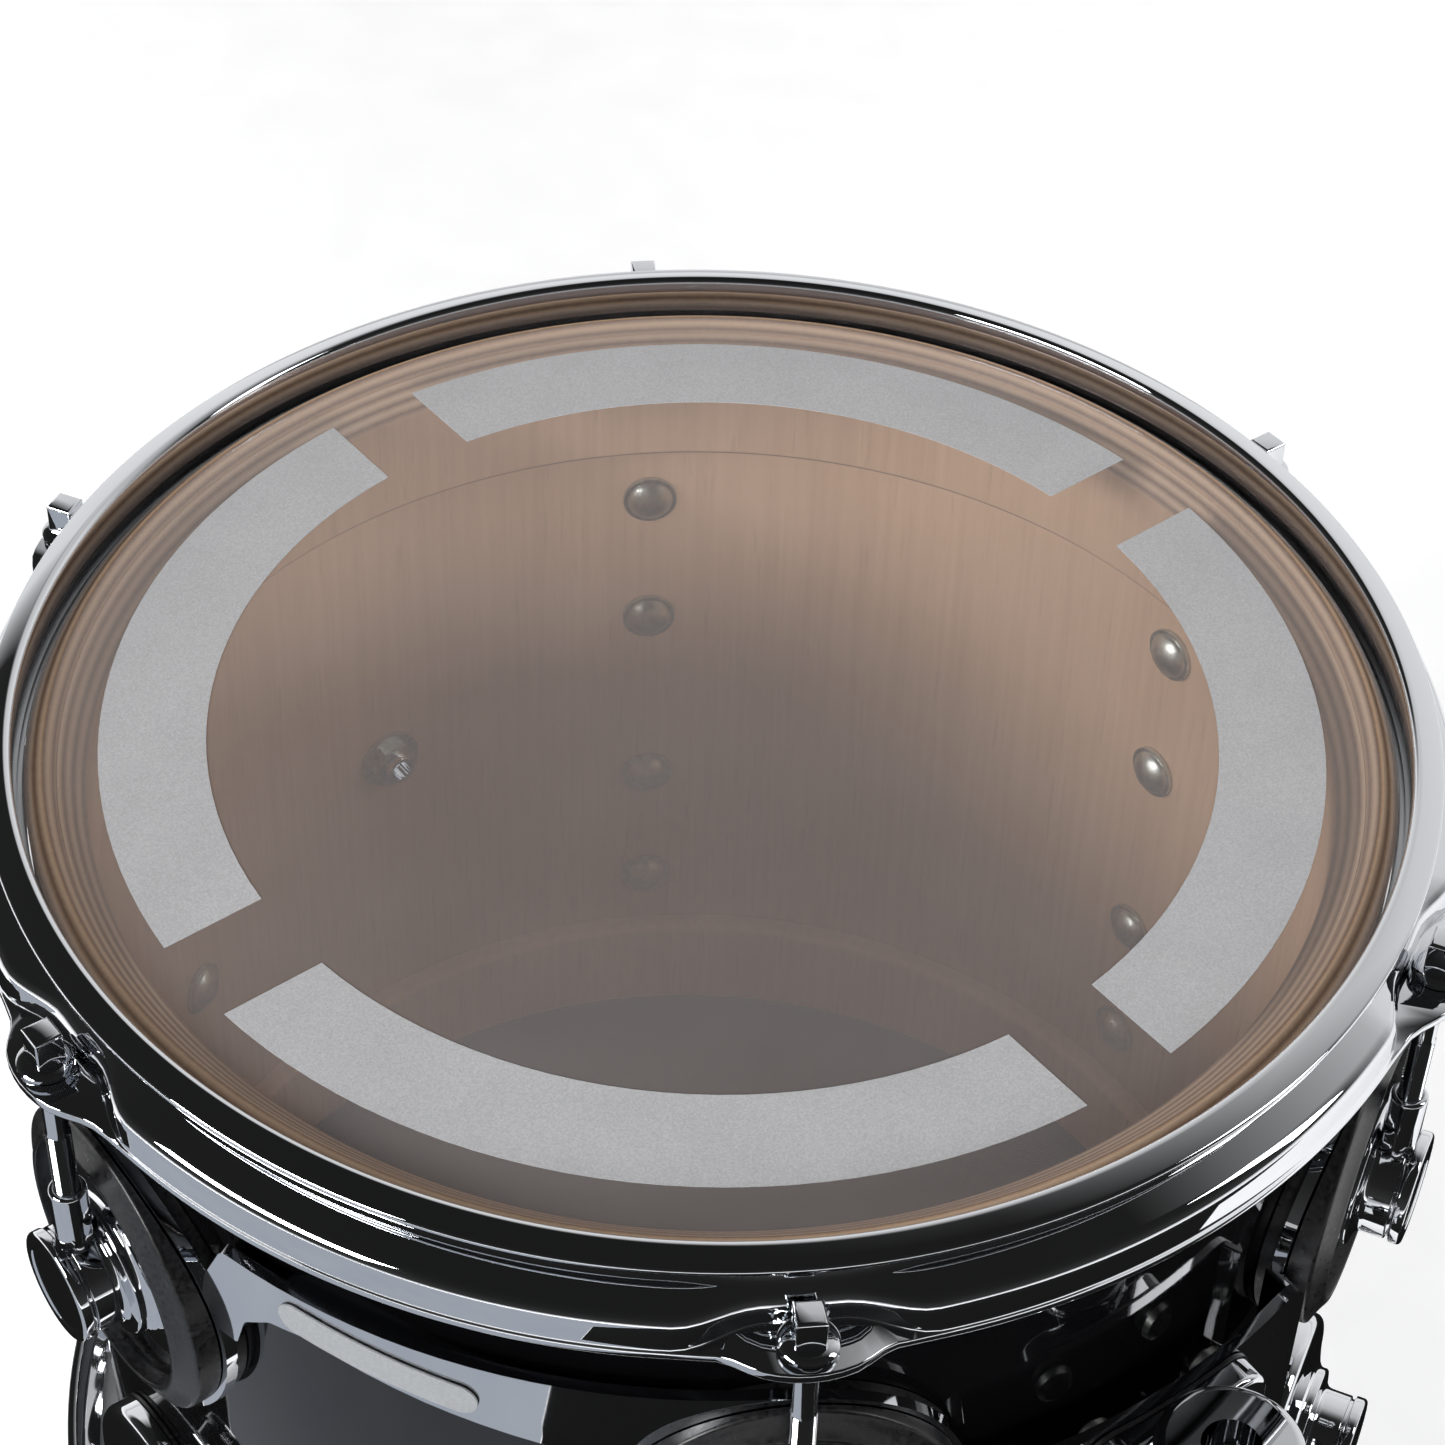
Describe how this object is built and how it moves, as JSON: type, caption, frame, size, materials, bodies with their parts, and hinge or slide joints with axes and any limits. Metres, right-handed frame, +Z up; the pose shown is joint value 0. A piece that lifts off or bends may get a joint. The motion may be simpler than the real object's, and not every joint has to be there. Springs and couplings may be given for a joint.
{
  "type": "rack tom drum",
  "caption": "Short cylindrical rack tom: lacquered shell, film heads in flanged metal hoops, lugs with turning tension rods, and a suspension plate with an arm clamp.",
  "frame": {"origin": "centre of the plane that the lower hoop's lip stands on, on the drum's axis", "axes": "+Z up along the drum's axis, batter head on top; the arm clamp faces -Y and the badge with the vent faces +Y"},
  "size_m": [0.349, 0.3835, 0.27],
  "materials": {
    "lacquered_maple": "high gloss black lacquer outside, clear satin maple inside",
    "maple": "clear satin",
    "clear_film": "clear polyester film",
    "coating": "rough sprayed dots",
    "flesh_hoop_aluminium": "satin",
    "chrome": "mirror",
    "zinc_steel": "zinc plated",
    "black_rubber": "matt",
    "label_metal": "satin, with a bright border and no marking",
    "badge_metal": "gloss, with a bright border and no marking"
  },
  "bodies": {
    "drum": {"shell": "lacquered_maple", "reinforcement_ring_upper": "maple", "reinforcement_ring_lower": "maple", "batter_film": "clear_film", "resonant_film": "clear_film", "batter_coating": "coating", "batter_flesh_hoop": "flesh_hoop_aluminium", "resonant_flesh_hoop": "flesh_hoop_aluminium", "batter_hoop": "chrome", "resonant_hoop": "chrome", "rod_washers_upper": "chrome", "rod_washers_lower": "chrome", "lugs_upper": "chrome", "lugs_lower": "chrome", "rod_receivers_upper": "chrome", "rod_receivers_lower": "chrome", "suspension_plate": "chrome", "clamp_body": "chrome", "vent_eyelet": "chrome", "lug_screws": "zinc_steel", "lug_screw_washers": "zinc_steel", "clamp_screws": "zinc_steel", "vent_washer": "zinc_steel", "vent_nut": "zinc_steel", "lug_gaskets_upper": "black_rubber", "lug_gaskets_lower": "black_rubber", "suspension_grommets": "black_rubber", "suspension_spacers": "black_rubber", "clamp_pad": "black_rubber", "plate_label": "label_metal", "badge": "badge_metal"},
    "tension_rod_upper_1": {"tension_rod_upper_1": "chrome"},
    "tension_rod_upper_2": {"tension_rod_upper_2": "chrome"},
    "tension_rod_upper_3": {"tension_rod_upper_3": "chrome"},
    "tension_rod_upper_4": {"tension_rod_upper_4": "chrome"},
    "tension_rod_upper_5": {"tension_rod_upper_5": "chrome"},
    "tension_rod_upper_6": {"tension_rod_upper_6": "chrome"},
    "tension_rod_lower_1": {"tension_rod_lower_1": "chrome"},
    "tension_rod_lower_2": {"tension_rod_lower_2": "chrome"},
    "tension_rod_lower_3": {"tension_rod_lower_3": "chrome"},
    "tension_rod_lower_4": {"tension_rod_lower_4": "chrome"},
    "tension_rod_lower_5": {"tension_rod_lower_5": "chrome"},
    "tension_rod_lower_6": {"tension_rod_lower_6": "chrome"},
    "eyebolt": {"eyebolt": "chrome"},
    "wing_nut": {"wing_nut": "chrome"}
  },
  "joints": [
    {"name": "tension_rod_upper_1_turn", "type": "hinge", "parent": "drum", "child": "tension_rod_upper_1", "pos_m": [0.168, 0, 0.255], "axis": [0, 0, 1], "continuous": true},
    {"name": "tension_rod_upper_2_turn", "type": "hinge", "parent": "drum", "child": "tension_rod_upper_2", "pos_m": [0.084, 0.14549, 0.255], "axis": [0, 0, 1], "continuous": true},
    {"name": "tension_rod_upper_3_turn", "type": "hinge", "parent": "drum", "child": "tension_rod_upper_3", "pos_m": [-0.084, 0.14549, 0.255], "axis": [0, 0, 1], "continuous": true},
    {"name": "tension_rod_upper_4_turn", "type": "hinge", "parent": "drum", "child": "tension_rod_upper_4", "pos_m": [-0.168, 0, 0.255], "axis": [0, 0, 1], "continuous": true},
    {"name": "tension_rod_upper_5_turn", "type": "hinge", "parent": "drum", "child": "tension_rod_upper_5", "pos_m": [-0.084, -0.14549, 0.255], "axis": [0, 0, 1], "continuous": true},
    {"name": "tension_rod_upper_6_turn", "type": "hinge", "parent": "drum", "child": "tension_rod_upper_6", "pos_m": [0.084, -0.14549, 0.255], "axis": [0, 0, 1], "continuous": true},
    {"name": "tension_rod_lower_1_turn", "type": "hinge", "parent": "drum", "child": "tension_rod_lower_1", "pos_m": [0.168, 0, 0.015], "axis": [0, 0, -1], "continuous": true},
    {"name": "tension_rod_lower_2_turn", "type": "hinge", "parent": "drum", "child": "tension_rod_lower_2", "pos_m": [0.084, 0.14549, 0.015], "axis": [0, 0, -1], "continuous": true},
    {"name": "tension_rod_lower_3_turn", "type": "hinge", "parent": "drum", "child": "tension_rod_lower_3", "pos_m": [-0.084, 0.14549, 0.015], "axis": [0, 0, -1], "continuous": true},
    {"name": "tension_rod_lower_4_turn", "type": "hinge", "parent": "drum", "child": "tension_rod_lower_4", "pos_m": [-0.168, 0, 0.015], "axis": [0, 0, -1], "continuous": true},
    {"name": "tension_rod_lower_5_turn", "type": "hinge", "parent": "drum", "child": "tension_rod_lower_5", "pos_m": [-0.084, -0.14549, 0.015], "axis": [0, 0, -1], "continuous": true},
    {"name": "tension_rod_lower_6_turn", "type": "hinge", "parent": "drum", "child": "tension_rod_lower_6", "pos_m": [0.084, -0.14549, 0.015], "axis": [0, 0, -1], "continuous": true},
    {"name": "wing_nut_turn", "type": "hinge", "parent": "drum", "child": "wing_nut", "pos_m": [0, -0.202, 0.167], "axis": [0, 1, 0], "range_deg": [0, 540]},
    {"name": "eyebolt_slide", "type": "slide", "parent": "drum", "child": "eyebolt", "axis": [0, -1, 0], "range_m": [0, 0.0015]}
  ],
  "couplings": [
    {"joint": "eyebolt_slide", "follows": "wing_nut_turn", "m_per_rad": 0.000159}
  ]
}
